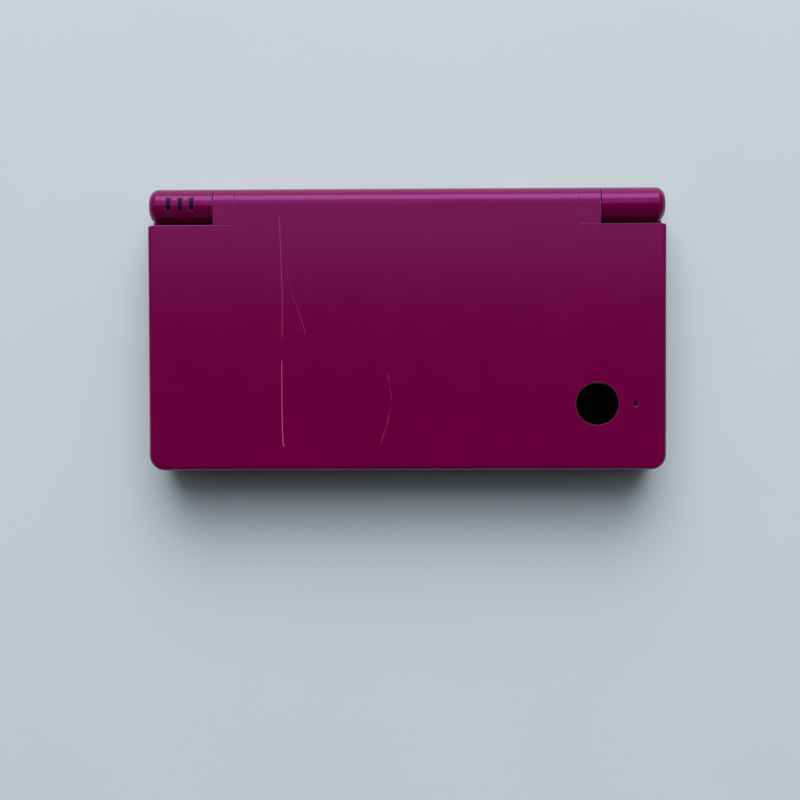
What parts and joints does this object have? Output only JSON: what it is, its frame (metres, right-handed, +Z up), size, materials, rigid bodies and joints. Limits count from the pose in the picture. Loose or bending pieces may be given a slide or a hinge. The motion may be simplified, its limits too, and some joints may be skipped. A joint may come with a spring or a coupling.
{
  "type": "clamshell handheld game console",
  "caption": "Folding two-screen handheld console with a barrel hinge, direction pad, push buttons, shoulder buttons, stylus, card slots and cameras.",
  "frame": {"origin": "middle of the closed console's outline, on the surface that its feet rest on", "axes": "+X along the width to the user's right, +Y from the front edge to the hinge, +Z up through the lid"},
  "size_m": [0.137, 0.075, 0.0189],
  "materials": {
    "shell_plastic": "satin moulded, fine even grain",
    "button_plastic": "moulded, slightly glossier than the casing",
    "screen_window": "clear hard-coated sheet, black behind its border",
    "touch_sheet": "touch film over the dark display",
    "display_panel": "dark glass panel in a thin stamped frame",
    "camera_window": "polished black",
    "light_pipe": "smoked clear",
    "status_light": "smoked clear, dark when off",
    "board": "lacquered circuit board",
    "component_black": "moulded packages",
    "shield_metal": "stamped tinned steel",
    "hinge_steel": "ground",
    "screw_steel": "machined, dark zinc",
    "rubber_grey": "moulded",
    "rubber_shell": "moulded in the casing's colour",
    "ribbon_film": "polyimide film",
    "battery_wrap": "moulded case",
    "stylus_plastic": "moulded",
    "contact_black": "moulded connector body",
    "speaker_black": "moulded frame with film dome"
  },
  "bodies": {
    "base": {"base_deck": "shell_plastic", "bottom_case": "shell_plastic", "hinge_shaft": "hinge_steel", "hinge_bush": "hinge_steel", "base_ribbon": "ribbon_film", "battery": "battery_wrap", "battery_cover": "shell_plastic", "battery_cover_screws": "screw_steel", "battery_connector": "contact_black", "main_board": "board", "processor_shield": "shield_metal", "wireless_module": "board", "board_components": "component_black", "lower_display": "display_panel", "touch_panel": "touch_sheet", "action_button_rubber": "rubber_grey", "start_select_rubber": "rubber_grey", "power_button_rubber": "rubber_grey", "shoulder_pins": "hinge_steel", "shoulder_switches": "shield_metal", "volume_switch": "component_black", "sd_card_reader": "shield_metal", "game_card_connector": "contact_black", "headphone_jack": "contact_black", "charging_port": "shield_metal", "status_light_pipes": "status_light", "rubber_feet": "rubber_grey", "case_screws": "screw_steel"},
    "lid": {"lid_cover": "shell_plastic", "lid_inner_frame": "shell_plastic", "upper_screen_window": "screen_window", "upper_display": "display_panel", "left_speaker": "speaker_black", "right_speaker": "speaker_black", "outer_camera_window": "camera_window", "outer_camera_module": "component_black", "camera_light_pipe": "light_pipe", "inner_camera": "camera_window", "microphone": "shield_metal", "lid_bumpers": "rubber_grey", "lid_screws": "screw_steel", "hinge_cartridge": "hinge_steel", "lid_ribbon": "ribbon_film", "sleep_magnet": "shield_metal"},
    "dpad_rocker": {"dpad_rubber": "rubber_grey"},
    "dpad_cross": {"dpad": "button_plastic"},
    "a_button": {"button_a": "button_plastic"},
    "b_button": {"button_b": "button_plastic"},
    "x_button": {"button_x": "button_plastic"},
    "y_button": {"button_y": "button_plastic"},
    "start": {"start_button": "button_plastic"},
    "select": {"select_button": "button_plastic"},
    "power": {"power_button": "button_plastic"},
    "left_shoulder": {"left_shoulder_button": "button_plastic", "left_shoulder_spring": "hinge_steel"},
    "right_shoulder": {"right_shoulder_button": "button_plastic", "right_shoulder_spring": "hinge_steel"},
    "volume": {"volume_rocker": "button_plastic"},
    "sd_cover": {"sd_slot_cover": "rubber_shell"},
    "stylus_pen": {"stylus": "stylus_plastic"}
  },
  "joints": [
    {"name": "lid_hinge", "type": "hinge", "parent": "base", "child": "lid", "pos_m": [0, 0.03285, 0.0143], "axis": [-1, 0, 0], "range_deg": [0, 155]},
    {"name": "dpad_tilt_front_back", "type": "hinge", "parent": "base", "child": "dpad_rocker", "pos_m": [-0.053, 0.007, 0.0076], "axis": [1, 0, 0], "range_deg": [-2.1, 2.1], "stiffness_Nm_per_rad": 0.3},
    {"name": "dpad_tilt_left_right", "type": "hinge", "parent": "dpad_rocker", "child": "dpad_cross", "pos_m": [-0.053, 0.007, 0.0076], "axis": [0, 1, 0], "range_deg": [-2.1, 2.1], "stiffness_Nm_per_rad": 0.3},
    {"name": "button_a_press", "type": "slide", "parent": "base", "child": "a_button", "axis": [0, 0, -1], "range_m": [0, 0.0005], "stiffness_N_per_m": 1200, "springref_m": -0.0003},
    {"name": "button_b_press", "type": "slide", "parent": "base", "child": "b_button", "axis": [0, 0, -1], "range_m": [0, 0.0005], "stiffness_N_per_m": 1200, "springref_m": -0.0003},
    {"name": "button_x_press", "type": "slide", "parent": "base", "child": "x_button", "axis": [0, 0, -1], "range_m": [0, 0.0005], "stiffness_N_per_m": 1200, "springref_m": -0.0003},
    {"name": "button_y_press", "type": "slide", "parent": "base", "child": "y_button", "axis": [0, 0, -1], "range_m": [0, 0.0005], "stiffness_N_per_m": 1200, "springref_m": -0.0003},
    {"name": "start_press", "type": "slide", "parent": "base", "child": "start", "axis": [0, 0, -1], "range_m": [0, 0.0005], "stiffness_N_per_m": 1200, "springref_m": -0.0003},
    {"name": "select_press", "type": "slide", "parent": "base", "child": "select", "axis": [0, 0, -1], "range_m": [0, 0.0005], "stiffness_N_per_m": 1200, "springref_m": -0.0003},
    {"name": "power_press", "type": "slide", "parent": "base", "child": "power", "axis": [0, 0, -1], "range_m": [0, 0.0005], "stiffness_N_per_m": 1200, "springref_m": -0.0003},
    {"name": "left_shoulder_press", "type": "hinge", "parent": "base", "child": "left_shoulder", "pos_m": [-0.0485, 0.0342, 0.00575], "axis": [0, 0, 1], "range_deg": [0, 2], "stiffness_Nm_per_rad": 0.6, "springref_deg": -1.15},
    {"name": "right_shoulder_press", "type": "hinge", "parent": "base", "child": "right_shoulder", "pos_m": [0.0485, 0.0342, 0.00575], "axis": [0, 0, -1], "range_deg": [0, 2], "stiffness_Nm_per_rad": 0.6, "springref_deg": -1.15},
    {"name": "volume_tilt", "type": "hinge", "parent": "base", "child": "volume", "pos_m": [-0.0666, 0.011, 0.004], "axis": [0, 0, 1], "range_deg": [-3, 3], "stiffness_Nm_per_rad": 0.1},
    {"name": "sd_cover_swing", "type": "hinge", "parent": "base", "child": "sd_cover", "pos_m": [0.068, 0.0027, 0.00285], "axis": [0, 1, 0], "range_deg": [0, 100]},
    {"name": "stylus_slide", "type": "slide", "parent": "base", "child": "stylus_pen", "axis": [1, 0, 0], "range_m": [0, 0.095]}
  ]
}
